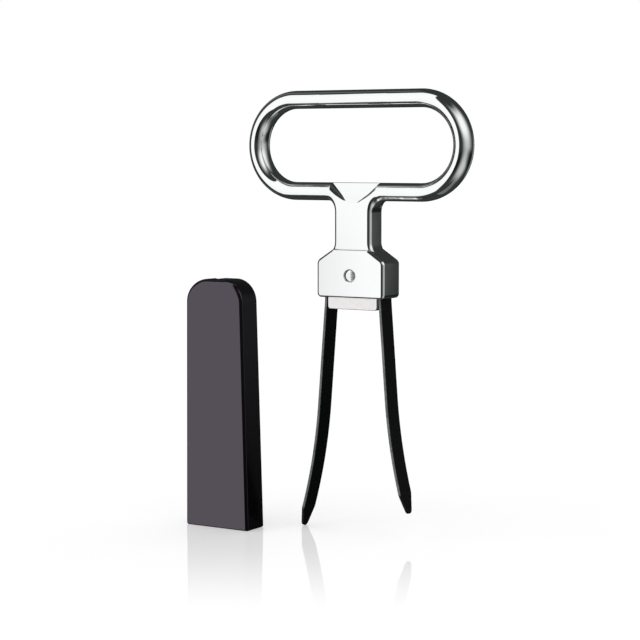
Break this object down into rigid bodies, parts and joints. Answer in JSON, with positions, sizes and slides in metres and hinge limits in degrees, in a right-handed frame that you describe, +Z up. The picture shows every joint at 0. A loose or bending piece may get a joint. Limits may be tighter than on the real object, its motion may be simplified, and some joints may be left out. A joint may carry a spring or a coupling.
{
  "type": "two-prong cork puller",
  "caption": "Two-prong cork puller: chromed finger-loop handle, rocking prong carrier, unequal black spring prongs, with its black push-on sheath standing beside it.",
  "frame": {"origin": "on the floor, at the middle of the ground that the puller and its sheath cover", "axes": "+Z up along the puller, +X along the finger loop towards the short prong, -Y towards the front face"},
  "size_m": [0.0862, 0.0224, 0.129],
  "materials": {
    "handle_chrome": "polished",
    "carrier_steel": "satin",
    "rivet_steel": "polished",
    "prong_black": "semi-gloss",
    "sheath_black": "semi-gloss"
  },
  "bodies": {
    "handle_body": {"handle": "handle_chrome", "carrier_rivet": "rivet_steel"},
    "carrier_body": {"prong_carrier": "carrier_steel"},
    "long_prong_body": {"long_prong": "prong_black"},
    "short_prong_body": {"short_prong": "prong_black"},
    "sheath_body": {"sheath": "sheath_black"}
  },
  "joints": [
    {"name": "carrier_rock", "type": "hinge", "parent": "handle_body", "child": "carrier_body", "pos_m": [0.00632, 0.00622, 0.0755], "axis": [0, 1, 0], "range_deg": [-2.5, 2.5]},
    {"name": "long_prong_flex", "type": "hinge", "parent": "carrier_body", "child": "long_prong_body", "pos_m": [-0.00265, 0.00622, 0.069], "axis": [0, -1, 0], "range_deg": [-1.5, 8], "stiffness_Nm_per_rad": 2.4},
    {"name": "short_prong_flex", "type": "hinge", "parent": "carrier_body", "child": "short_prong_body", "pos_m": [0.01529, 0.00622, 0.069], "axis": [0, 1, 0], "range_deg": [-1.5, 8], "stiffness_Nm_per_rad": 2.4},
    {"name": "sheath_lift", "type": "slide", "parent": "handle_body", "child": "sheath_body", "axis": [0, 0, 1], "range_m": [0, 0.13]}
  ]
}
